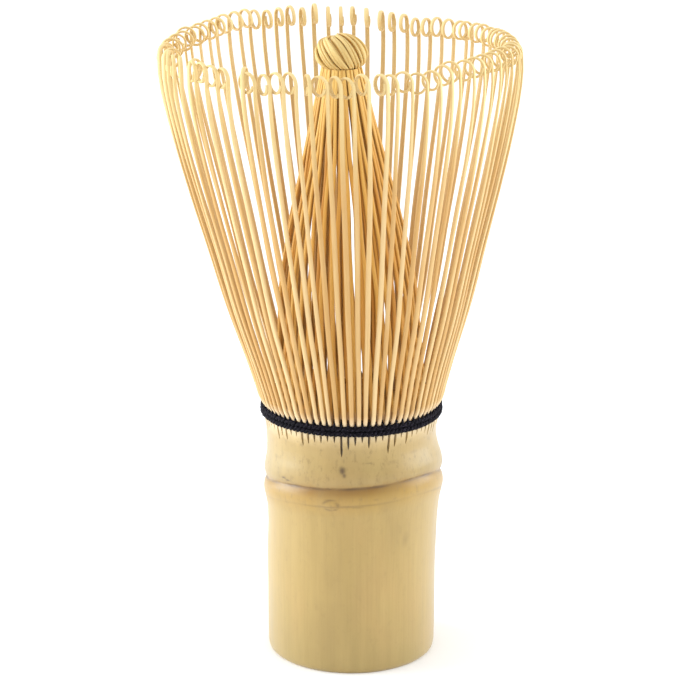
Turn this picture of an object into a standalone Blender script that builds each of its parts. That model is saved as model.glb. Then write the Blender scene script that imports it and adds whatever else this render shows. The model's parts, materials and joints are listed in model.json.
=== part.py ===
"""Bamboo tea whisk, carved and split from one section of culm and woven with thread.

Metres, +Z up, origin at the centre of the foot. The top of the culm is cut into
sixteen primary splits. Each primary split is worked into five springy outer tines,
curled in at the tip, and five inner tines. The inner tines lean in to a neck and
their tips are twisted into the knot. A black thread, two turns outside and one
turn between the two rows, holds the rows apart.
"""

import math

import bmesh
import bpy
from mathutils import Matrix, Vector

MM = 0.001

# Driving dimensions
SPLITS = 16
TINES_PER_SPLIT = 5
CLEARANCE = 0.3 * MM
HANDLE_HEIGHT = 39.5 * MM
THREAD_HEIGHT = 42.6 * MM
THREAD_RADIUS = 0.3 * MM
ROOT_HEIGHT = 1.6 * MM
CURL_CENTRE = Vector((27.85, 0, 102.6)) * MM
CURL_RADIUS = 1.45 * MM
CURL_TURN = math.radians(290)
CURL_STEPS = 7
KNOT_CENTRE = 102.0 * MM
KNOT_RADIUS = 4.2 * MM
KNOT_HALF_HEIGHT = 3.15 * MM
KNOT_STRANDS = 14
KNOT_TWIST = math.radians(75)
KNOT_RIDGE = 0.055

SPLIT_ANGLE = math.tau / SPLITS
TINE_ANGLE = SPLIT_ANGLE / TINES_PER_SPLIT
ROOT_BOTTOM = HANDLE_HEIGHT + CLEARANCE

# The culm, from the axis above the diaphragm, over the rim, down the outside with
# its swollen joint ring and groove, and up the hollow of the foot (radius, height)
CULM_OUTLINE = (
    (0.0, 29.8), (8.0, 30.2), (10.9, 31.6), (11.4, 39.5),
    (14.0, 39.5), (14.1, 36.6), (14.6, 34.6), (14.65, 32.7),
    (14.35, 31.7), (14.9, 30.7), (14.95, 29.7), (14.45, 27.2), (14.1, 24.4),
    (14.0, 12.0), (14.0, 0.5), (13.6, 0.0),
    (11.2, 0.0), (10.9, 0.8), (10.9, 25.0), (9.0, 26.7), (0.0, 27.5),
)
CULM_STEPS = 44

# Centre lines of the tines (radius, height), from the middle of the root upwards
OUTER_LINE = ((13.9, 40.6), (13.95, 43.3), (15.0, 45.0), (17.3, 52.6), (22.55, 71.0), (28.9, 98.2))
INNER_LINE = ((12.35, 40.6), (12.2, 43.0), (11.35, 60.0), (10.6, 66.8), (3.65, 98.3))
OUTER_THICKNESS = (0.5 * MM, 0.38 * MM)
INNER_THICKNESS = (0.45 * MM, 0.4 * MM)
OUTER_WIDTH = (0.8 * MM, 0.95 * MM)
INNER_WIDTH = (0.72 * MM, 0.2 * MM)
OUTER_ROOT = (13.5 * MM, 14.25 * MM)
INNER_ROOT = (12.0 * MM, 12.7 * MM)
OUTER_PIVOT = Vector((14.0 * MM, 0, THREAD_HEIGHT))

# Thread turns: radius of the turn and height of its centre
THREAD_TURNS = {
    "thread_lower_turn": (14.8 * MM, THREAD_HEIGHT - 0.35 * MM),
    "thread_upper_turn": (14.8 * MM, THREAD_HEIGHT + 0.35 * MM),
    "thread_inner_turn": (13.15 * MM, THREAD_HEIGHT),
}


def clear_scene():
    for obj in list(bpy.data.objects):
        bpy.data.objects.remove(obj, do_unlink=True)


def collection(name, helper=False):
    made = bpy.data.collections.new(name)
    made.hide_render = helper
    bpy.context.scene.collection.children.link(made)
    return made


def material(name, colour, roughness, metallic=0.0):
    made = bpy.data.materials.new(name)
    made.use_nodes = True
    shader = made.node_tree.nodes["Principled BSDF"]
    shader.inputs["Base Color"].default_value = (*colour, 1.0)
    shader.inputs["Roughness"].default_value = roughness
    shader.inputs["Metallic"].default_value = metallic
    made.diffuse_color = (*colour, 1.0)
    return made


def add_part(name, mesh, surface, home):
    """A named object in a collection, with its own material."""
    obj = bpy.data.objects.new(name, mesh)
    if not mesh.materials:
        mesh.materials.append(surface)
    home.objects.link(obj)
    return obj


def shade(mesh, angle=35):
    mesh.shade_smooth()
    mesh.set_sharp_from_angle(angle=math.radians(angle))


def turned(name, outline, steps, surface, home):
    """A solid of revolution about Z, from an outline that ends on the axis."""
    mesh = bpy.data.meshes.new(name)
    points = [(radius * MM, 0, height * MM) for radius, height in outline]
    mesh.from_pydata(points, [(i, i + 1) for i in range(len(points) - 1)], [])
    obj = add_part(name, mesh, surface, home)
    screw = obj.modifiers.new("Screw", "SCREW")
    screw.steps = steps
    screw.render_steps = steps
    screw.use_merge_vertices = True
    screw.merge_threshold = 0.00001
    screw.use_smooth_shade = True
    return obj


def flat_mesh(name, outline, thickness):
    """A closed mesh of a flat outline in XY, of a thickness along Z."""
    curve = bpy.data.curves.new(name, "CURVE")
    curve.dimensions = "2D"
    curve.fill_mode = "BOTH"
    curve.extrude = thickness / 2
    spline = curve.splines.new("POLY")
    spline.points.add(len(outline) - 1)
    for point, (x, y) in zip(spline.points, outline):
        point.co = (x, y, 0, 1)
    spline.use_cyclic_u = True
    obj = bpy.data.objects.new(name, curve)
    bpy.context.scene.collection.objects.link(obj)
    graph = bpy.context.evaluated_depsgraph_get()
    mesh = bpy.data.meshes.new_from_object(obj.evaluated_get(graph))
    bpy.data.objects.remove(obj, do_unlink=True)
    shape = bmesh.new()
    shape.from_mesh(mesh)
    bmesh.ops.remove_doubles(shape, verts=shape.verts, dist=0.000001)
    bmesh.ops.recalc_face_normals(shape, faces=shape.faces)
    shape.to_mesh(mesh)
    shape.free()
    return mesh


def mixed(ends, share):
    """A value that goes from the first of two ends to the second."""
    return ends[0] + (ends[1] - ends[0]) * share


def strip_outline(line, thickness):
    """Both sides of a centre line, as one closed outline that thins from its start to its end."""
    points = [Vector(point) for point in line]
    near, far = [], []
    for i, point in enumerate(points):
        along = (points[min(i + 1, len(points) - 1)] - points[max(i - 1, 0)]).normalized()
        across = Vector((along.y, -along.x)) * mixed(thickness, i / (len(points) - 1)) / 2
        near.append(point + across)
        far.append(point - across)
    return near + far[::-1]


def outer_line():
    """An outer tine's centre line: the flare, and the curl that rolls in at its tip."""
    line = [(radius * MM, height * MM) for radius, height in OUTER_LINE]
    for i in range(CURL_STEPS + 1):
        angle = CURL_TURN * i / CURL_STEPS
        across = CURL_RADIUS * math.cos(angle)
        up = CURL_RADIUS * math.sin(angle)
        line.append((CURL_CENTRE.x + across, CURL_CENTRE.z + up))
    return line


def inner_line():
    return [(radius * MM, height * MM) for radius, height in INNER_LINE]


def tine_mesh(name, line, thickness, width):
    """A tine in its radial plane, standing up from the root, whose width changes with height."""
    mesh = flat_mesh(name, strip_outline(line, thickness), 1.0)
    low = line[0][1]
    high = max(point[1] for point in line)
    for vertex in mesh.vertices:
        share = min(max((vertex.co.y - low) / (high - low), 0), 1)
        vertex.co.z *= mixed(width, share)
    mesh.transform(Matrix.Rotation(math.pi / 2, 4, "X"))
    return mesh


def root_mesh(name, radii):
    """The arc of culm wall that the five tines of one split grow from."""
    outline = []
    steps = TINES_PER_SPLIT
    for radius, ends in ((radii[1], (-1, 1)), (radii[0], (1, -1))):
        half = SPLIT_ANGLE / 2 - CLEARANCE / 2 / radius
        for i in range(steps + 1):
            angle = half * mixed(ends, i / steps)
            outline.append((radius * math.cos(angle), radius * math.sin(angle)))
    mesh = flat_mesh(name, outline, ROOT_HEIGHT)
    mesh.transform(Matrix.Translation((0, 0, ROOT_BOTTOM + ROOT_HEIGHT / 2)))
    return mesh


def split_mesh(name, radii, line, thickness, width, guides):
    """One split: its root with five tines joined on."""
    root = bpy.data.objects.new(name + "_root", root_mesh(name + "_root", radii))
    guides.objects.link(root)
    joined = [root]
    for i in range(TINES_PER_SPLIT):
        tine = bpy.data.objects.new(name + "_tine", tine_mesh(name + "_tine", line, thickness, width))
        angle = TINE_ANGLE * (i - (TINES_PER_SPLIT - 1) / 2)
        tine.data.transform(Matrix.Rotation(angle, 4, "Z"))
        guides.objects.link(tine)
        joined.append(tine)
        union = root.modifiers.new("Tine", "BOOLEAN")
        union.operation = "UNION"
        union.object = tine
    bpy.context.view_layer.update()
    graph = bpy.context.evaluated_depsgraph_get()
    mesh = bpy.data.meshes.new_from_object(root.evaluated_get(graph))
    for obj in joined:
        bpy.data.objects.remove(obj, do_unlink=True)
    mesh.name = name
    return mesh


def add_splits(name, mesh, pivot, surface, home):
    """Sixteen copies of a split around the axis, each with its origin on its own pivot."""
    mesh.transform(Matrix.Translation(-pivot))
    shade(mesh)
    for i in range(SPLITS):
        turn = Matrix.Rotation(i * SPLIT_ANGLE, 4, "Z")
        obj = add_part(f"{name}_{i + 1:02d}", mesh, surface, home)
        obj.location = turn @ pivot
        obj.rotation_euler.z = i * SPLIT_ANGLE


def add_thread(surface, home):
    for name, (radius, height) in THREAD_TURNS.items():
        bpy.ops.mesh.primitive_torus_add(
            major_radius=radius,
            minor_radius=THREAD_RADIUS,
            major_segments=40,
            minor_segments=6,
            location=(0, 0, height),
        )
        made = bpy.context.object
        mesh = made.data
        bpy.data.objects.remove(made, do_unlink=True)
        shade(mesh, 80)
        add_part(name, mesh, surface, home).location.z = height


def add_knot(surface, home):
    """A bun of twisted strands: a ball whose ridges run round it as they climb."""
    mesh = bpy.data.meshes.new("knot")
    shape = bmesh.new()
    bmesh.ops.create_uvsphere(shape, u_segments=KNOT_STRANDS * 3, v_segments=10, radius=1)
    for vertex in shape.verts:
        around = math.atan2(vertex.co.y, vertex.co.x)
        across = math.hypot(vertex.co.x, vertex.co.y)
        ridge = 1 + KNOT_RIDGE * math.cos(KNOT_STRANDS * around)
        turned_to = around + KNOT_TWIST * vertex.co.z
        reach = KNOT_RADIUS * across**0.8 * ridge if across > 0.001 else 0
        vertex.co = Vector(
            (reach * math.cos(turned_to), reach * math.sin(turned_to), vertex.co.z * KNOT_HALF_HEIGHT)
        )
    shape.to_mesh(mesh)
    shape.free()
    shade(mesh, 60)
    add_part("knot", mesh, surface, home).location.z = KNOT_CENTRE


def main():
    clear_scene()
    home = collection("bamboo_tea_whisk")
    guides = collection("guides", helper=True)
    culm = material("culm_skin", (0.62, 0.45, 0.2), 0.45)
    outer = material("outer_tine_bamboo", (0.8, 0.56, 0.24), 0.5)
    inner = material("inner_tine_bamboo", (0.76, 0.5, 0.2), 0.5)
    twisted = material("knot_bamboo", (0.8, 0.6, 0.28), 0.5)
    thread = material("black_thread", (0.012, 0.01, 0.014), 0.8)

    turned("handle", CULM_OUTLINE, CULM_STEPS, culm, home)
    outer_split = split_mesh(
        "outer_tines", OUTER_ROOT, outer_line(), OUTER_THICKNESS, OUTER_WIDTH, guides
    )
    add_splits("outer_tines", outer_split, OUTER_PIVOT, outer, home)
    inner_split = split_mesh(
        "inner_tines", INNER_ROOT, inner_line(), INNER_THICKNESS, INNER_WIDTH, guides
    )
    add_splits("inner_tines", inner_split, Vector((0, 0, 0)), inner, home)
    add_thread(thread, home)
    add_knot(twisted, home)


main()
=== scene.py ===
"""Looks of the bamboo tea whisk.

Every CAD node is replaced by a finer piece in the same place. The culm is one closed
skin of rings, and the slits between the tines cut into its crown. Each outer split is
five swept tines that end in a curl, and rides on its own body. The inner splits lean in
to the neck, the knot is a bun of twisted strands, and each turn of thread is two-ply.
Shapes are built in millimetres, and Shape.piece turns them into metres. Angles "from
the front" are degrees anticlockwise, seen from above.
"""

import json
import math

import bpy
import numpy as np
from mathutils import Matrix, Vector


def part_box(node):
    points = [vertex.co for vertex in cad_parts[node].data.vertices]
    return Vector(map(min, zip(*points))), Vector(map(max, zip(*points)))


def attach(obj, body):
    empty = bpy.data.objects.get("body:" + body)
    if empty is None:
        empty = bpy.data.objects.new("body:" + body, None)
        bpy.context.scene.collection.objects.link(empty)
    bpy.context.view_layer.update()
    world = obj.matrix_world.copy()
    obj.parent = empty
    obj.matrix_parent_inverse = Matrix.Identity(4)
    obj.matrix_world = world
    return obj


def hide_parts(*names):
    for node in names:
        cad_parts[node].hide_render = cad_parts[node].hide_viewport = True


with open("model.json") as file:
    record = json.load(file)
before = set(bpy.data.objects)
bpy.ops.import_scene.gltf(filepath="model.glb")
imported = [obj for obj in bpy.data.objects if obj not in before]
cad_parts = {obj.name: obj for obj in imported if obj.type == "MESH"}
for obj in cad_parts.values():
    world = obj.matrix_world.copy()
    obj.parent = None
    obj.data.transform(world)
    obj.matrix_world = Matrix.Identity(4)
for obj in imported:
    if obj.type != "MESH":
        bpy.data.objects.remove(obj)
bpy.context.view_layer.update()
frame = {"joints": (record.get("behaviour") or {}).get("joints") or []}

MM = 0.001
TAU = math.tau
RNG = np.random.default_rng(11)

# From the frame: how many splits there are, and the heights that the pieces meet at
SPLITS = len(frame["joints"])
TINES_PER_SPLIT = 5
TINES = SPLITS * TINES_PER_SPLIT
PITCH = TAU / TINES
THREAD_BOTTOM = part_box("thread_lower_turn")[0].z / MM
THREAD_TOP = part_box("thread_upper_turn")[1].z / MM
THREAD_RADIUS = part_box("thread_lower_turn")[1].x / MM
KNOT_LOW, KNOT_HIGH = (corner.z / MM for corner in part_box("knot"))
THREAD_MIDDLE = (THREAD_BOTTOM + THREAD_TOP) / 2
KNOT_MIDDLE = (KNOT_LOW + KNOT_HIGH) / 2
CROWN_TOP = THREAD_TOP - 0.5  # where the wall of the culm ends, out of sight behind the thread
FRONT = -math.pi / 2
UP = np.array([0, 0, 1.0])

# Lines of the tines (height, radius), at the middle of their thickness
OUTER_LINE = (
    (42.0, 13.95), (43.0, 14.1), (44.3, 14.95), (46.6, 15.65), (50.5, 16.75), (60.7, 19.85),
    (70.9, 22.48), (80.9, 25.15), (90.8, 27.5), (97.0, 28.66), (99.8, 28.98), (102.6, 28.96),
)
INNER_LINE = (
    (42.0, 12.7), (43.2, 12.45), (45.0, 12.3), (52.0, 11.95), (59.0, 11.6), (64.5, 11.15),
    (69.0, 10.4), (76.0, 8.95), (83.0, 7.2), (90.0, 5.5), (95.5, 4.25), (99.8, 3.2),
)
# How far the whole crown leans to the left and to the front, in mm for each mm above LEAN_FROM
LEAN = (-0.030, -0.018)
LEAN_FROM = 43.5
# How much the rim rises and dips on its way round (degrees anticlockwise from the right, mm)
RIM_LINE = (
    (-180, -0.55), (-150, 0.0), (-90, -0.05), (-65, 0.05), (-50, 0.55), (-35, 1.0), (-20, 0.9),
    (0, 0.0), (20, -0.2), (38, -0.45), (55, -1.05), (75, -0.4), (90, 0.1), (110, 0.35),
    (128, 0.35), (142, 0.0), (158, -0.5), (180, -0.55),
)
# The culm's outer wall below the crown (height, radius), with the joint ring and its groove
CULM_LINE = (
    (0.0, 13.5), (0.3, 13.8), (0.9, 13.97), (2.4, 14.02), (13.0, 14.08), (19.0, 14.15), (24.5, 14.22),
    (26.6, 14.42), (28.3, 14.76), (29.5, 14.98), (30.4, 14.9), (31.0, 14.7), (31.45, 14.45), (31.9, 14.66),
    (32.8, 14.84), (34.2, 14.72), (35.8, 14.36), (37.6, 14.12), (39.3, 14.2), (40.7, 14.48),
    (41.7, 14.6), (42.6, 14.45), (43.4, 14.35),
)


def smooth(low, high, value):
    """0 below low, 1 above high, and an S-curve between."""
    share = np.clip((np.asarray(value, float) - low) / (high - low), 0, 1)
    return share * share * (3 - 2 * share)


def through(knots, at):
    """A smooth curve through (position, value) knots, read at the positions given."""
    x, y = np.array(knots, float).T
    slopes = np.gradient(y, x)
    at = np.clip(at, x[0], x[-1])
    i = np.clip(np.searchsorted(x, at, "right") - 1, 0, len(x) - 2)
    step = x[i + 1] - x[i]
    t = (at - x[i]) / step
    return (
        (1 + 2 * t) * (1 - t) ** 2 * y[i]
        + t * (1 - t) ** 2 * step * slopes[i]
        + t * t * (3 - 2 * t) * y[i + 1]
        + t * t * (t - 1) * step * slopes[i + 1]
    )


def wander(positions, size, lengths):
    """Slow random drift along a line: a few sine waves with seeded phases."""
    total = np.zeros(len(positions))
    for length in lengths:
        total += np.sin(positions * TAU / length + RNG.uniform(0, TAU))
    return total * size / len(lengths)


def unit(vectors):
    return vectors / np.linalg.norm(vectors, axis=-1, keepdims=True)


def leaning(points):
    """The crown leant a little from the thread, so its middle is off the axis and its front dips."""
    points = points.copy()
    above = np.clip(points[:, 2] - LEAN_FROM, 0, None)
    share = smooth(0, 14, above)
    points[:, 2] -= share * LEAN[1] * points[:, 1]
    points[:, 0] += LEAN[0] * above
    points[:, 1] += LEAN[1] * above
    return points


class Shape:
    """Points, faces and per-point attributes of one piece, gathered from its strands."""

    def __init__(self):
        self.points, self.faces, self.data = [], [], {}
        self.count = 0

    def add(self, points, faces, **data):
        self.points.append(points)
        self.faces += [tuple(int(i) + self.count for i in face) for face in faces]
        for name, values in data.items():
            values = np.broadcast_to(np.asarray(values, float), (len(points),) + np.shape(values)[1:])
            self.data.setdefault(name, []).append(values)
        self.count += len(points)

    def piece(self, name, material, body, node=None, slot=None, sharp=None):
        """The finished object, riding on a body and standing for a CAD node."""
        mesh = bpy.data.meshes.new(name)
        points = leaning(np.concatenate(self.points)) * MM
        mesh.from_pydata(points.tolist(), [], self.faces)
        for key, values in self.data.items():
            values = np.concatenate(values)
            kind = "FLOAT" if values.ndim == 1 else "FLOAT_VECTOR"
            layer = mesh.attributes.new(key, kind, "POINT")
            layer.data.foreach_set("value" if kind == "FLOAT" else "vector", values.ravel())
        mesh.materials.append(material)
        mesh.shade_smooth()
        if sharp:
            mesh.set_sharp_from_angle(angle=math.radians(sharp))
        obj = bpy.data.objects.new(name, mesh)
        bpy.context.scene.collection.objects.link(obj)
        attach(obj, body)
        if node:
            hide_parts(node)
        return obj


def rings_to_faces(rings, around, closed=False):
    """Quads between rings of points, with an end face at each end of an open run."""
    faces = []
    for i in range(rings if closed else rings - 1):
        here, there = i * around, ((i + 1) % rings) * around
        for j in range(around):
            k = (j + 1) % around
            faces.append((here + j, here + k, there + k, there + j))
    if not closed:
        faces.append(tuple(range(around))[::-1])
        faces.append(tuple(range((rings - 1) * around, rings * around)))
    return faces


# A shaved strip seen end on: a slightly crowned face, bevelled edges and a flat back
STRIP = np.array([
    (-0.60, 1.0), (0.0, 1.12), (0.60, 1.0), (0.92, 0.55), (1.0, 0.0),
    (0.84, -0.8), (0.5, -1.0), (-0.5, -1.0), (-0.84, -0.8), (-1.0, 0.0), (-0.92, 0.55),
])
ROUND = np.array([(math.cos(TAU * i / 8), -math.sin(TAU * i / 8)) for i in range(8)])


def sweep(shape, line, side, width, depth, section=STRIP, closed=False, tone=0.5, offset=0.0):
    """A strand with a section that keeps its width along side, swept along a line."""
    line = np.asarray(line, float)
    if closed:
        along = unit(np.roll(line, -1, 0) - np.roll(line, 1, 0))
    else:
        along = unit(np.gradient(line, axis=0))
    side = unit(side - (side * along).sum(-1, keepdims=True) * along)
    out = np.cross(side, along)
    width = np.broadcast_to(np.asarray(width, float), len(line)) / 2
    depth = np.broadcast_to(np.asarray(depth, float), len(line)) / 2
    a = section[:, 0][None, :] * width[:, None]
    b = section[:, 1][None, :] * depth[:, None]
    points = line[:, None, :] + side[:, None, :] * a[..., None] + out[:, None, :] * b[..., None]
    length = np.concatenate([[0], np.cumsum(np.linalg.norm(np.diff(line, axis=0), axis=1))])
    grain = np.stack([a + offset, b, np.broadcast_to(length[:, None], a.shape)], -1)
    shape.add(
        points.reshape(-1, 3),
        rings_to_faces(len(line), len(section), closed),
        grain=grain.reshape(-1, 3),
        # How far out to the side each point of a strip lies, which drives the painted shade on its cut
        # sides
        edge=np.tile(np.abs(section[:, 0]), len(line)),
        tone=np.full(a.size, tone),
    )


def polar(angle):
    """Outward and anticlockwise directions at an angle about the axis."""
    across, along = math.cos(angle), math.sin(angle)
    return np.array([across, along, 0]), np.array([-along, across, 0])


def slit_angle(slit):
    """The angle of a slit about the axis: slit 0 is between tines 0 and 1."""
    return (slit - TINES_PER_SPLIT / 2 + 1) * PITCH


def circle(radius, angles, level):
    """Points at a radius and a level, at angles about the axis."""
    level = np.broadcast_to(level, np.shape(angles))
    return np.stack([radius * np.cos(angles), radius * np.sin(angles), level], -1)


# ---- materials ----

class Nodes:
    """Short calls for building a material's node tree."""

    def __init__(self, name):
        self.material = bpy.data.materials.new(name)
        self.material.use_nodes = True
        self.tree = self.material.node_tree
        self.shader = self.tree.nodes["Principled BSDF"]

    def link(self, source, target):
        self.tree.links.new(source, target)

    def node(self, kind, **settings):
        made = self.tree.nodes.new(kind)
        for key, value in settings.items():
            setattr(made, key, value)
        return made

    def set(self, socket, value):
        if isinstance(value, (int, float, tuple)):
            socket.default_value = value
        else:
            self.link(value, socket)

    def attribute(self, name, output="Fac"):
        return self.node("ShaderNodeAttribute", attribute_name=name).outputs[output]

    def place(self):
        return self.node("ShaderNodeTexCoord").outputs["Object"]

    def scaled(self, vector, scale):
        made = self.node("ShaderNodeMapping")
        self.link(vector, made.inputs["Vector"])
        made.inputs["Scale"].default_value = scale
        return made.outputs["Vector"]

    def noise(self, vector, scale, detail=3.0, roughness=0.55):
        made = self.node("ShaderNodeTexNoise")
        self.link(vector, made.inputs["Vector"])
        made.inputs["Scale"].default_value = scale
        made.inputs["Detail"].default_value = detail
        made.inputs["Roughness"].default_value = roughness
        return made.outputs["Fac"]

    def ramp(self, value, *stops):
        made = self.node("ShaderNodeValToRGB")
        self.link(value, made.inputs["Fac"])
        elements = made.color_ramp.elements
        while len(elements) < len(stops):
            elements.new(0.5)
        for element, (position, colour) in zip(elements, stops):
            element.position = position
            grey = isinstance(colour, (int, float))
            element.color = (colour, colour, colour, 1) if grey else (*colour, 1)
        return made.outputs["Color"]

    def fade(self, value, start, end, most):
        """0 where the value is at start, rising to most where it is at end."""
        made = self.node("ShaderNodeMapRange")
        self.link(value, made.inputs["Value"])
        made.inputs["From Min"].default_value = start
        made.inputs["From Max"].default_value = end
        made.inputs["To Max"].default_value = most
        return made.outputs["Result"]

    def mix(self, share, first, second):
        made = self.node("ShaderNodeMix", data_type="RGBA")
        self.set(made.inputs["Factor"], share)
        for socket, value in ((made.inputs["A"], first), (made.inputs["B"], second)):
            self.set(socket, (*value, 1.0) if isinstance(value, tuple) and len(value) == 3 else value)
        return made.outputs["Result"]

    def math(self, operation, first, second=0.0):
        made = self.node("ShaderNodeMath", operation=operation)
        self.set(made.inputs[0], first)
        self.set(made.inputs[1], second)
        return made.outputs[0]

    def bump(self, height, strength, distance):
        made = self.node("ShaderNodeBump")
        self.link(height, made.inputs["Height"])
        made.inputs["Strength"].default_value = strength
        made.inputs["Distance"].default_value = distance
        self.link(made.outputs["Normal"], self.shader.inputs["Normal"])

    def finish(self, colour, roughness, **fixed):
        self.set(self.shader.inputs["Base Color"], colour)
        self.set(self.shader.inputs["Roughness"], roughness)
        for name, value in fixed.items():
            self.shader.inputs[name.replace("_", " ")].default_value = value
        return self.material


def shaved_bamboo(name, deep, middle, pale, tip, cut):
    """Split bamboo: long fibre streaks, a tone of its own for each strand, paler at the tips."""
    n = Nodes(name)
    grain = n.attribute("grain", "Vector")
    fibres = n.noise(n.scaled(grain, (9.0, 9.0, 0.22)), 1.0, 4.0, 0.6)
    patches = n.noise(n.scaled(grain, (0.9, 0.9, 0.06)), 1.0, 2.0)
    height, across = n.node("ShaderNodeSeparateXYZ"), n.node("ShaderNodeSeparateXYZ")
    n.link(n.place(), height.inputs[0])
    n.link(grain, across.inputs[0])
    colour = n.ramp(n.attribute("tone"), (0.0, deep), (0.5, middle), (1.0, pale))
    colour = n.mix(n.ramp(fibres, (0.34, 0.34), (0.6, 0.0)), colour, deep)
    colour = n.mix(n.ramp(patches, (0.5, 0.0), (0.72, 0.5)), colour, pale)
    near_tip = n.fade(height.outputs["Z"], 0.085, 0.101, 0.75)
    colour = n.mix(near_tip, colour, tip)
    # The pith side of each strip is duller
    pith = n.fade(across.outputs["Y"], 0.06, -0.12, 0.55)
    colour = n.mix(pith, colour, (0.60, 0.42, 0.18))
    # Painted shade darkens the cut sides of each strip, for the shadow in the gaps between the tines
    colour = n.mix(n.ramp(n.attribute("edge"), (0.62, 0.0), (0.98, 0.5)), colour, cut)
    # Painted highlight on each strip's foot, just above the thread, where it bends out and catches the
    # light
    foot_highlight = n.fade(height.outputs["Z"], 0.0455, 0.0438, 0.6)
    colour = n.mix(foot_highlight, colour, (0.92, 0.74, 0.5))
    n.bump(fibres, 0.35, 0.00006)
    return n.finish(colour, n.ramp(fibres, (0.3, 0.62), (0.7, 0.46)), Specular_IOR_Level=0.35)


SKIN_TALL = 44.0  # the skin's colours are given for shares of this height, in mm


def culm_skin():
    """The dried skin: straw to olive tan, an orange band under the joint, stains and streaks, and painted
    shade in the slits and under the front of the joint.
    """
    n = Nodes("culm_skin")
    place = n.place()
    ring = n.attribute("ring")
    fibres = n.noise(n.scaled(place, (1.0, 1.0, 0.025)), 2600.0, 3.0, 0.6)
    streaks = n.noise(n.scaled(place, (1.0, 1.0, 0.09)), 420.0, 3.0)
    clouds = n.noise(n.scaled(place, (1.0, 1.0, 0.5)), 130.0, 3.0)
    warmth = n.noise(n.scaled(place, (1.0, 1.0, 0.7)), 85.0, 2.0)
    specks = n.noise(n.scaled(place, (1.0, 1.0, 0.6)), 1150.0, 4.0, 0.65)
    shifted = n.math("ADD", ring, n.math("MULTIPLY", n.math("SUBTRACT", streaks, 0.5), 1.6))
    colour = n.ramp(
        n.math("DIVIDE", shifted, SKIN_TALL),
        (0.0, (0.37, 0.262, 0.082)),
        (0.30, (0.44, 0.30, 0.092)),
        (0.60, (0.445, 0.30, 0.09)),
        (0.645, (0.43, 0.265, 0.05)),
        (0.70, (0.41, 0.235, 0.026)),
        (0.7145, (0.36, 0.205, 0.03)),
        (0.735, (0.375, 0.255, 0.082)),
        (0.80, (0.42, 0.295, 0.10)),
        (0.89, (0.46, 0.315, 0.11)),
        (0.92, (0.60, 0.43, 0.19)),
        (0.95, (0.80, 0.64, 0.40)),
    )
    colour = n.mix(n.ramp(streaks, (0.42, 0.0), (0.75, 0.24)), colour, (0.60, 0.42, 0.155))
    colour = n.mix(n.ramp(warmth, (0.52, 0.0), (0.74, 0.4)), colour, (0.50, 0.31, 0.105))
    # Browning under the joint's groove, with painted shade that makes it darkest at the front
    colour = n.mix(n.attribute("burn"), colour, (0.235, 0.105, 0.006))
    colour = n.mix(n.ramp(clouds, (0.3, 0.38), (0.55, 0.0)), colour, (0.35, 0.235, 0.075))
    colour = n.mix(n.ramp(fibres, (0.32, 0.13), (0.56, 0.0)), colour, (0.30, 0.19, 0.06))
    level = n.math("DIVIDE", ring, SKIN_TALL)
    above_joint = n.ramp(level, (0.6, 0.25), (0.72, 1.0), (0.9, 1.0), (0.93, 0.1))
    speckled = n.mix(above_joint, (0.0, 0.0, 0.0), n.ramp(specks, (0.55, 0.0), (0.7, 0.5)))
    colour = n.mix(speckled, colour, (0.25, 0.16, 0.05))
    # The culm's hidden cut faces keep their own colour: rim, hollows and foot
    colour = n.mix(n.attribute("cut"), colour, (0.62, 0.42, 0.17))
    # Stains, the groove's dark line and the scar's rim, with painted shade on the slit floors
    colour = n.mix(n.attribute("stain"), colour, (0.085, 0.045, 0.018))
    n.bump(fibres, 0.2, 0.00008)
    rough = n.ramp(streaks, (0.3, 0.34), (0.7, 0.46))
    return n.finish(
        colour, rough, Specular_IOR_Level=0.42, Coat_Weight=0.22, Coat_Roughness=0.45,
        Sheen_Weight=0.25, Sheen_Roughness=0.5,
    )


def black_thread():
    """Black cotton with a cool sheen: fine fibres that run round each ply."""
    n = Nodes("black_thread")
    fibres = n.noise(n.scaled(n.attribute("grain", "Vector"), (14.0, 14.0, 3.0)), 1.0, 4.0, 0.7)
    colour = n.ramp(
        fibres, (0.44, (0.002, 0.0015, 0.003)), (0.58, (0.008, 0.006, 0.011)), (0.7, (0.13, 0.105, 0.16))
    )
    n.bump(fibres, 0.6, 0.00008)
    return n.finish(colour, 0.75, Specular_IOR_Level=0.14)


# ---- tines ----

def curl_at(top, out, side):
    """The curl beyond a tine's top point: its points, and how far along it each one is, 0 to 1."""
    size = RNG.uniform(1.5, 1.66)
    end = math.radians(RNG.uniform(330, 385))
    roll = np.linspace(0, end, 28)[1:]
    radius = (size * (1 - 0.14 * (roll / TAU) ** 1.6))[:, None]
    drift = (RNG.uniform(0.1, 0.4) * (roll / TAU) ** 1.2)[:, None]
    rolled = out * (radius * np.cos(roll)[:, None]) + UP * (radius * np.sin(roll)[:, None])
    return top - out * size + rolled - side * drift, roll / end


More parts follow.
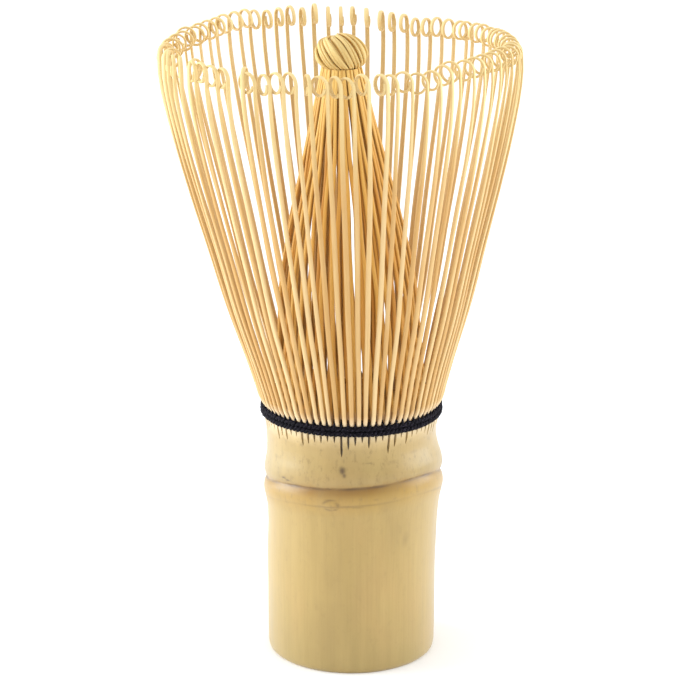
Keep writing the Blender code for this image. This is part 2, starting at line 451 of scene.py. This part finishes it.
def outer_tine(shape, index):
    """One outer tine: up through the thread, out along the flare and round its curl."""
    angle = index * PITCH - (TINES_PER_SPLIT - 1) / 2 * PITCH + RNG.normal(0, 0.004)
    out, across = polar(angle)
    place = index % TINES_PER_SPLIT
    first, last = place == 0, place == TINES_PER_SPLIT - 1

    # How far the tip strays sideways, outward and upward, in mm
    aside = np.clip(RNG.normal(0, 0.18), -0.12 if first else -0.38, 0.12 if last else 0.38)
    reach = np.clip(RNG.normal(0, 0.14), -0.35, 0.22)
    lift = np.clip(RNG.normal(0, 0.2), -0.45, 0.35)
    lift += through(RIM_LINE, [(math.degrees(angle) + 180) % 360 - 180])[0]

    # The curls at the front are turned sideways, and most of all at the front left
    frontness, leftness = 0.5 - 0.5 * math.sin(angle), max(0.0, -math.cos(angle))
    turn_out = RNG.uniform(-6, 6) + (34 + RNG.uniform(-10, 12)) * frontness**2
    turn_out += (70 + RNG.uniform(-14, 10)) * frontness * leftness
    if first:
        # The first curl of a split would otherwise reach behind the last tine of the one before
        turn_out = min(turn_out, 20)
    turn_out = math.radians(turn_out)

    top = OUTER_LINE[-1][0]
    heights = np.concatenate([np.linspace(42.0, 47.0, 9), np.linspace(49.0, top, 22)])
    rise = smooth(44, top, heights)
    waves = wander(heights, 0.09, (43, 27)) * smooth(45, 60, heights)
    lateral = rise * aside + waves
    bow = np.clip(RNG.normal(0, 0.12), -0.25, 0.25)
    radii = through(OUTER_LINE, heights) + rise * reach
    radii = radii + bow * smooth(45, 68, heights) * (1 - smooth(72, 99, heights))
    line = out * radii[:, None] + across * lateral[:, None] + UP * (heights + rise * lift)[:, None]

    # The tine turns about itself near the top, and its curl rolls in with a little pitch
    turns = turn_out * smooth(84, 101, heights)
    side = across * np.cos(turns)[:, None] - out * np.sin(turns)[:, None]
    curl_out = out * math.cos(turn_out) + across * math.sin(turn_out)
    curl_side = across * math.cos(turn_out) - out * math.sin(turn_out)
    curl, curled = curl_at(line[-1], curl_out, curl_side)
    line = np.concatenate([line, curl])
    side = np.concatenate([side, np.tile(curl_side, (len(curl), 1))])

    share = np.linspace(0, 1, len(line))
    curled = np.concatenate([np.zeros(len(heights)), curled])
    width = through(((0, 0.64), (0.1, 0.7), (0.24, 0.84), (0.38, 0.8), (0.53, 0.68), (1, 0.74)), share)
    width = width * RNG.uniform(0.9, 1.08) * (1 - 0.08 * curled - 0.35 * smooth(0.9, 1, curled))
    depth = through(((0, 0.52), (0.3, 0.46), (0.5, 0.36), (1, 0.37)), share)
    sweep(shape, line, side, width, depth, tone=RNG.uniform(0, 1), offset=index * 3.7)


def inner_tine(shape, index):
    """One inner tine, on one of two layers: it leans in and bunches with its split at the neck."""
    place = index % TINES_PER_SPLIT
    middle = (index - place + 0.5) * PITCH
    apart = (place - (TINES_PER_SPLIT - 1) / 2) * PITCH + RNG.normal(0, 0.008)
    layer = place % 2
    top = INNER_LINE[-1][0]
    heights = np.concatenate([np.linspace(42.0, 47.0, 6), np.linspace(50.0, top, 22)])
    set_in = layer * (0.55 * smooth(46, 60, heights) + 0.25 * smooth(80, 96, heights))
    radii = through(INNER_LINE, heights) - set_in
    radii = radii - RNG.uniform(0, 0.25) * smooth(44, 56, heights) + wander(heights, 0.10, (26, 15))
    turn = RNG.normal(0, 0.04) * smooth(45, 62, heights) * (1 - smooth(76, 94, heights))
    bunched = apart * (1 - 0.34 * smooth(70, 95, heights))
    turns = middle + bunched + turn + wander(heights, 0.012, (22, 13))
    line = circle(radii, turns, heights)
    side = circle(1.0, turns + math.pi / 2, 0.0)
    width = through(((42, 0.7), (55, 0.8), (70, 0.76), (88, 0.62), (100, 0.5)), heights)
    width = width * RNG.uniform(0.9, 1.08)
    depth = through(((42, 0.42), (70, 0.4), (100, 0.3)), heights)
    sweep(shape, line, side, width, depth, tone=RNG.uniform(0, 1), offset=50 + index * 3.1)


def add_tines(outer_look, inner_look):
    """Two pieces for each split: the outer one rides on its own body, the inner one on the root."""
    for split in range(SPLITS):
        number = f"{split + 1:02d}"
        outer, inner = Shape(), Shape()
        for i in range(TINES_PER_SPLIT):
            outer_tine(outer, split * TINES_PER_SPLIT + i)
            inner_tine(inner, split * TINES_PER_SPLIT + i)
        outer.piece(
            f"outer_split_{number}", outer_look, f"split_{number}",
            f"outer_tines_{number}", "outer_tines", 50,
        )
        inner.piece(
            f"inner_split_{number}", inner_look, "root", f"inner_tines_{number}", "inner_tines", 50
        )


# ---- knot ----

KNOT_STRANDS = (38, 32)  # in the outer layer and in the one under it
KNOT_SWEEP = math.radians(92)
KNOT_LEAN = math.radians(38)
KNOT_STRAND_DEPTH = 0.42
KNOT_CORE_SINK = 0.9


def knot_point(latitude, longitude, sink):
    """A point on the bun, whose crown is turned to the back so the strands run over the top."""
    tall = (KNOT_HIGH - KNOT_LOW) / 2
    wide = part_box("knot")[1].x / MM + 0.12
    x, y = np.cos(latitude) * np.cos(longitude), np.cos(latitude) * np.sin(longitude)
    z = np.sin(latitude)
    lean = KNOT_LEAN * smooth(-0.7, 0.8, z)
    y, z = y * np.cos(lean) + z * np.sin(lean), z * np.cos(lean) - y * np.sin(lean)
    across = np.maximum(np.hypot(x, y), 1e-6)
    plump = across**-0.12 * (wide - sink)
    return np.stack([x * plump, y * plump, KNOT_MIDDLE + (tall - sink) * z], -1)


def add_knot(look):
    """Strands that leave the neck, sweep round the bun as they climb and tuck in at the top."""
    shape = Shape()
    climb = np.linspace(0, 1, 30)
    latitude = np.radians(-68 + 150 * climb)
    for layer, strands in enumerate(KNOT_STRANDS):
        for i in range(strands):
            start = TAU * (i + RNG.uniform(-0.3, 0.3)) / strands
            sweep_by = KNOT_SWEEP * RNG.uniform(0.84, 1.14)
            longitude = start - sweep_by * climb ** 1.1
            sink = 0.25 + 0.5 * layer + wander(climb, 0.12, (1.3, 0.7)) + RNG.uniform(0, 0.3)
            line = knot_point(latitude, longitude, sink)
            outward = unit(line - UP * KNOT_MIDDLE)
            side = np.cross(outward, np.gradient(line, axis=0))
            width = (0.2 + 0.38 * np.cos(latitude) ** 0.9) * RNG.uniform(0.7, 1.2)
            # The lower layer's strands get darker tones: painted shade under the outer layer
            sweep(
                shape, line, side, width, KNOT_STRAND_DEPTH, section=ROUND,
                tone=RNG.uniform(0.3, 1) * (1 - 0.7 * layer), offset=300 + 5.3 * i + 90 * layer,
            )
    # A core in painted shade shows dark in the gaps between the strands
    around = np.linspace(0, TAU, 32, endpoint=False)
    levels = np.radians(np.linspace(-86, 86, 15))
    points = np.concatenate([
        knot_point(np.full(len(around), level), around, KNOT_CORE_SINK) for level in levels
    ])
    shape.add(
        points, rings_to_faces(len(levels), len(around)),
        grain=points, edge=np.ones(len(points)), tone=np.zeros(len(points)),
    )
    shape.piece("tip_knot", look, "root", "knot", "knot", 60)


# ---- thread ----

PLY_WIDE, PLY_DEEP = 0.58, 0.5
PLY_TWIST = 0.2  # how far a ply lies from the middle of the turn
FILL_TALL, FILL_DEEP = 1.0, 0.24
LOOP_DEEP = 0.36


def ply_ring(shape, radius, height, ply, twists, phase, ripple):
    """One of the two plies of a turn of thread, twisting round the turn's own line."""
    around = np.linspace(0, TAU, twists * 9, endpoint=False)
    twist = around * twists + phase + ply * math.pi
    lie = 0.05 * np.sin(around * 3 + 0.6) + 0.02 * np.sin(around * 11 + 2 * phase)
    reach = radius + ripple * np.cos((around + PITCH * (TINES_PER_SPLIT - 1) / 2) * TINES)
    reach = reach + PLY_TWIST * np.cos(twist)
    line = circle(reach, around, height + lie + PLY_TWIST * np.sin(twist))
    side = np.tile(UP, (len(line), 1))
    sweep(shape, line, side, PLY_WIDE, PLY_DEEP, section=ROUND, closed=True, offset=900 + 10 * ply)


def fill_ring(shape, radius, height):
    """What is woven between the tines, which fills the space behind the two outer turns."""
    line = circle(radius, np.linspace(0, TAU, 160, endpoint=False), height)
    side = np.tile(UP, (len(line), 1))
    sweep(shape, line, side, FILL_TALL, FILL_DEEP, section=ROUND, closed=True, offset=950)


def add_thread(look):
    inner_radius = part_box("thread_inner_turn")[1].x / MM - 0.3
    # Radius, level, twists in one turn, phase of the twist, and ripple over the tines
    turns = {
        "thread_lower_turn": (THREAD_RADIUS - 0.36, THREAD_MIDDLE - 0.5, 62, 0.4, 0.05),
        "thread_upper_turn": (THREAD_RADIUS - 0.4, THREAD_MIDDLE + 0.36, 58, 2.1, 0.05),
        "thread_inner_turn": (inner_radius, THREAD_MIDDLE, 50, 1.0, 0.0),
    }
    for name, (radius, height, twists, phase, ripple) in turns.items():
        shape = Shape()
        for ply in (0, 1):
            ply_ring(shape, radius, height, ply, twists, phase, ripple)
        if name == "thread_lower_turn":
            fill_ring(shape, radius - 0.08, THREAD_MIDDLE - 0.22)
        shape.piece("woven_" + name, look, "root", name, "thread")
    add_thread_loops(look)


def add_thread_loops(look):
    """Where the thread passes in between two tines it shows as a small black peak."""
    loops = Shape()
    for i in range(TINES):
        angle = slit_angle(i) + RNG.normal(0, 0.0015)
        out, across = polar(angle)
        peak = RNG.uniform(0.75, 1.25)
        # How far in, how high above the middle, and how wide
        run = (
            (0.14, 0.42, 0.46), (0.3, 0.6 + 0.5 * peak, 0.3), (0.75, 0.6 + peak, 0.22),
            (1.2, 0.5 + 0.6 * peak, 0.22), (1.7, 0.2, 0.22),
        )
        line = [out * (THREAD_RADIUS - inward) + UP * (THREAD_MIDDLE + rise) for inward, rise, _ in run]
        width = [wide for _, _, wide in run]
        side = np.tile(across, (len(run), 1))
        sweep(loops, line, side, width, LOOP_DEEP, section=ROUND, offset=1200 + i)
    loops.piece("thread_loops", look, "root", slot="thread")


# ---- culm ----

# Levels on CULM_LINE: the groove of the joint, its dark line, and the fainter one under the ridge
GROOVE = 31.42
GROOVE_LINE = 31.4
SECOND_LINE = 28.5
# Radii that turn an angle into a width on the skin: of the wall, the ridge and the slits
WALL_RADIUS, RIDGE_RADIUS, SLIT_RADIUS = 14.3, 14.4, 14.2

# Marks on the skin: degrees from the front, height, half width, half height, strength
STAINS = (
    (-6.9, 35.8, 0.46, 0.6, 0.9), (-5.9, 35.1, 0.3, 0.42, 0.75), (-5.2, 37.4, 0.1, 0.4, 0.45),
    (-51, 32.95, 0.5, 0.17, 0.95), (-47.5, 32.72, 0.4, 0.16, 0.9), (-17, 32.55, 0.6, 0.14, 0.7),
    (-15, 30.75, 0.9, 0.1, 0.5), (-11, 30.0, 0.12, 0.5, 0.35), (-12, 29.1, 0.22, 0.16, 0.6),
    (2, 29.55, 0.9, 0.16, 0.25), (37.5, 22.8, 0.6, 0.3, 0.2), (11, 37.0, 0.7, 0.12, 0.3),
    (27, 36.8, 0.9, 0.3, 0.16), (46, 37.6, 0.9, 0.3, 0.18), (-60, 35.9, 0.9, 0.3, 0.16),
    (14, 30.9, 0.5, 0.12, 0.3), (150, 34.6, 0.5, 0.5, 0.5), (215, 36.2, 0.8, 0.3, 0.4),
    (100, 24.0, 0.3, 0.5, 0.4),
)
# The scar of a bud: degrees from the front, height, half width, half height, how far it stands out
BUD_SCAR = (-15.0, 29.8, 1.2, 0.8, 0.28)
# Slits that run on below the others as cracks: degrees from the front, height of the lower end
LONG_SLITS = ((-8.8, 38.0), (24.5, 38.3), (120, 37.6), (-110, 38.2))
SLIT_DEPTH = 0.85
# How dark the painted shade on the floor of each slit is, for the shadow inside the gap
SLIT_SHADE = 0.85
# Half the width of a slit at its lower end, what it gains above, and over what height
SLIT_END, SLIT_GAIN, SLIT_TAPER = 0.035, 0.175, 1.1

# The columns of the wall between one slit and the next: share of the way, and kind
FLOOR, NEAR_LIP, FACE, FAR_LIP = 2, 1, 0, -1
COLUMNS = ((0.0, FLOOR), (0.04, NEAR_LIP), (0.27, FACE), (0.5, FACE), (0.73, FACE), (0.96, FAR_LIP))


def slit_lower_ends():
    """The height of each slit's lower end."""
    ends = THREAD_BOTTOM - RNG.uniform(1.2, 2.9, TINES)
    for degrees, end in LONG_SLITS:
        slit = round((FRONT + math.radians(degrees)) / PITCH + TINES_PER_SPLIT / 2 - 1)
        ends[slit % TINES] = end
    return ends


def joint_line(height, around, degrees):
    """The height on CULM_LINE of each point. The joint lies askew: high in front, low behind."""
    joint = 29.95 + 2.75 * smooth(-0.35, 0.85, -np.sin(around)) + 0.9 * np.cos(around)
    joint = joint + 0.85 * np.exp(-(((degrees + 98) / 22) ** 2))
    return height - (joint - GROOVE) * smooth(8, 27, height) * (1 - smooth(34, 39.5, height))


def scar_place(degrees, height):
    """Where a point lies from the middle of the bud scar, in half widths and half heights."""
    where, level, wide, tall, _ = BUD_SCAR
    return np.radians(degrees - where) * RIDGE_RADIUS / wide, (height - level) / tall


def skin_stain(height, around, degrees, ring, floor):
    """How dark each point is: stains as spots, the groove, the line under it, the scar, and painted shade
    in the slits.
    """
    stain = np.zeros(height.shape)
    for where, level, wide, tall, strength in STAINS:
        apart = (degrees - where + 180) % 360 - 180
        u, v = np.radians(apart) * WALL_RADIUS / wide, (height - level) / tall
        stain = np.maximum(stain, strength * np.exp(-((u * u + v * v) ** 1.5)))
    groove = np.exp(-(((ring - GROOVE_LINE) / 0.2) ** 2))
    groove = groove * (0.55 + 0.35 * np.sin(around * 5 + 1) * np.sin(around * 13))
    second = np.exp(-(((ring - SECOND_LINE) / 0.16) ** 2)) * (0.24 + 0.16 * np.sin(around * 4 + 2))
    scar_x, scar_y = scar_place(degrees, height)
    scar_edge = np.exp(-(((np.hypot(scar_x, scar_y) - 1.05) / 0.2) ** 2))
    scar_edge = scar_edge * (0.3 + 0.22 * np.sin(3 * np.arctan2(scar_y, scar_x) + 1))
    return np.clip(np.maximum.reduce([stain, groove, second, scar_edge, SLIT_SHADE * floor]), 0, 1)


def joint_burn(degrees, ring):
    """The skin's browning under the joint's groove, with painted shade that makes it strongest at the
    front.
    """
    burn = np.exp(-(((ring - 31.1) / 1.05) ** 2)) * (0.14 + 0.8 * np.exp(-(((degrees + 6) / 40) ** 2)))
    return np.where(ring < 31.65, burn, 0)


def culm_outside():
    """The outer wall: rows of points from the foot to the crown, with slits between the tines."""
    slit_ends = slit_lower_ends()
    rows = np.concatenate([
        [0.0, 0.2, 0.45, 0.8, 1.3], np.linspace(2.5, 24.5, 14), np.linspace(25.3, 36.5, 54),
        np.linspace(36.8, CROWN_TOP, 34),
    ])
    share, kind = (np.tile(values, TINES) for values in zip(*COLUMNS))
    tine = np.repeat(np.arange(TINES), len(COLUMNS))
    slit = np.where(kind == FAR_LIP, (tine + 1) % TINES, tine)
    height, around = np.meshgrid(rows, slit_angle(tine) + share * PITCH, indexing="ij")
    degrees = np.degrees((around - FRONT + math.pi) % TAU - math.pi)

    # The lips stand apart where a slit is open and meet below its end
    above_end = height - slit_ends[slit][None, :]
    half = SLIT_END + SLIT_GAIN * np.clip(above_end / SLIT_TAPER, 0, 1) ** 0.8
    lip = np.where(np.abs(kind) == 1, kind, 0)[None, :]
    placed = np.where(lip != 0, slit_angle(slit)[None, :] + lip * half / SLIT_RADIUS, around)
    floor = (kind == FLOOR)[None, :] * smooth(0, 0.35, above_end)

    ring = joint_line(height, around, degrees)
    uneven = 0.05 * np.sin(2 * around + 0.7) + 0.03 * np.sin(3 * around + 2 + height / 14)
    uneven = uneven + 0.015 * np.sin(7 * around + height / 9)
    scar_x, scar_y = scar_place(degrees, height)
    radius = through(CULM_LINE, ring)
    radius = radius + uneven * smooth(0, 3, height) * (1 - smooth(38, 40, height))
    radius = radius + BUD_SCAR[4] * np.exp(-(scar_x**2) - scar_y**2) - SLIT_DEPTH * floor
    shift = 0.4 * smooth(14, 29, height) * (1 - smooth(33, 39, height))
    points = np.stack([radius * np.cos(placed) + shift, radius * np.sin(placed), height], -1)
    stain = skin_stain(height, around, degrees, ring, floor)
    return points, ring, stain, joint_burn(degrees, ring)


# Rings of the hidden faces (radius, height): the upper hollow from its rim to the middle of the
# diaphragm, and the lower one from there down to the foot
UPPER_HOLLOW = (
    (13.3, CROWN_TOP), (13.1, 40.2), (12.2, 39.7), (11.7, 39.0), (11.3, 36.0), (11.0, 32.2),
    (10.4, 31.3), (8.4, 30.5), (4.5, 30.0), (0.05, 29.8),
)
LOWER_HOLLOW = (
    (0.05, 27.5), (4.5, 27.4), (8.6, 26.8), (10.3, 25.7), (10.85, 24.2), (10.9, 12.0), (10.95, 1.0),
    (11.05, 0.25), (11.3, 0.0), (12.4, 0.0), (13.0, 0.0),
)


def add_culm(look):
    """The culm as one closed skin: outer wall, rim, upper hollow, diaphragm and open foot."""
    points, ring, stain, burn = culm_outside()
    around = np.arctan2(points[0, :, 1], points[0, :, 0])
    upper = [circle(radius, around, height) for radius, height in UPPER_HOLLOW]
    lower = [circle(radius, around, height) for radius, height in LOWER_HOLLOW]
    rows = np.concatenate([upper[::-1], points[::-1], lower[::-1]])

    def skin(values, hidden):
        """The outer wall's values, row for row, and one value for all the hidden faces."""
        above = np.full((len(upper), len(around)), hidden)
        below = np.full((len(lower), len(around)), hidden)
        return np.concatenate([above, values[::-1], below]).ravel()

    shape = Shape()
    faces = [face[::-1] for face in rings_to_faces(len(rows), len(around))]
    shape.add(
        rows.reshape(-1, 3), faces,
        ring=skin(ring, 20.0), stain=skin(stain, 0.0), burn=skin(burn, 0.0),
        cut=skin(np.zeros_like(stain), 1.0),
    )
    shape.piece("culm", look, "root", "handle", "culm", 40)


# ---- stage ----

def area_light(name, place, aim, size, watts):
    data = bpy.data.lights.new(name, "AREA")
    data.shape = "RECTANGLE"
    data.size, data.size_y = size
    data.energy = watts
    data.color = (0.86, 0.93, 1.0)
    obj = bpy.data.objects.new(name, data)
    obj.location = place
    obj.rotation_euler = (Vector(aim) - Vector(place)).to_track_quat("-Z", "Y").to_euler()
    bpy.context.scene.collection.objects.link(obj)


def add_stage():
    """A wide pale floor, an even white surround and a soft light on each side."""
    mesh = bpy.data.meshes.new("floor")
    half = 12.0
    corners = [(-half, -half, 0), (half, -half, 0), (half, half, 0), (-half, half, 0)]
    mesh.from_pydata(corners, [], [(0, 1, 2, 3)])
    n = Nodes("pale_floor")
    mesh.materials.append(n.finish((0.98, 0.98, 0.98, 1.0), 0.9, Specular_IOR_Level=0.1))
    floor = bpy.data.objects.new("floor", mesh)
    bpy.context.scene.collection.objects.link(floor)

    world = bpy.data.worlds.new("studio")
    world.use_nodes = True
    background = world.node_tree.nodes["Background"]
    background.inputs["Color"].default_value = (1, 1, 1, 1)
    background.inputs["Strength"].default_value = 1.0
    bpy.context.scene.world = world
    aim = (0, 0, 0.055)
    area_light("left_softbox", (-0.6, 0.08, 0.16), aim, (0.5, 0.5), 5.5)
    area_light("right_softbox", (0.6, 0.08, 0.16), aim, (0.5, 0.5), 3.5)


def add_camera():
    """In front and a little above, looking down, with a long lens."""
    data = bpy.data.cameras.new("camera")
    data.sensor_width = 36.0
    data.lens = 149.45
    data.clip_start = 0.01
    camera = bpy.data.objects.new("camera", data)
    camera.location = (-0.0019, -0.448, 0.1856)
    camera.rotation_euler = (math.radians(90 - 16.4), 0, 0)
    bpy.context.scene.collection.objects.link(camera)
    bpy.context.scene.camera = camera


def main():
    bpy.context.scene.view_settings.view_transform = "Standard"
    add_camera()
    add_stage()
    # The last colour of each bamboo look is painted shade for the strips' cut sides
    outer_look = shaved_bamboo(
        "outer_tine_bamboo", deep=(0.56, 0.30, 0.082), middle=(0.70, 0.45, 0.182),
        pale=(0.79, 0.575, 0.285), tip=(0.88, 0.71, 0.34), cut=(0.58, 0.36, 0.125),
    )
    inner_look = shaved_bamboo(
        "inner_tine_bamboo", deep=(0.55, 0.242, 0.035), middle=(0.72, 0.37, 0.066),
        pale=(0.78, 0.462, 0.106), tip=(0.86, 0.60, 0.19), cut=(0.50, 0.24, 0.045),
    )
    knot_look = shaved_bamboo(
        "knot_bamboo", deep=(0.60, 0.33, 0.06), middle=(0.90, 0.64, 0.20),
        pale=(0.94, 0.75, 0.32), tip=(0.93, 0.71, 0.26), cut=(0.60, 0.34, 0.08),
    )
    add_culm(culm_skin())
    add_tines(outer_look, inner_look)
    add_knot(knot_look)
    add_thread(black_thread())


main()
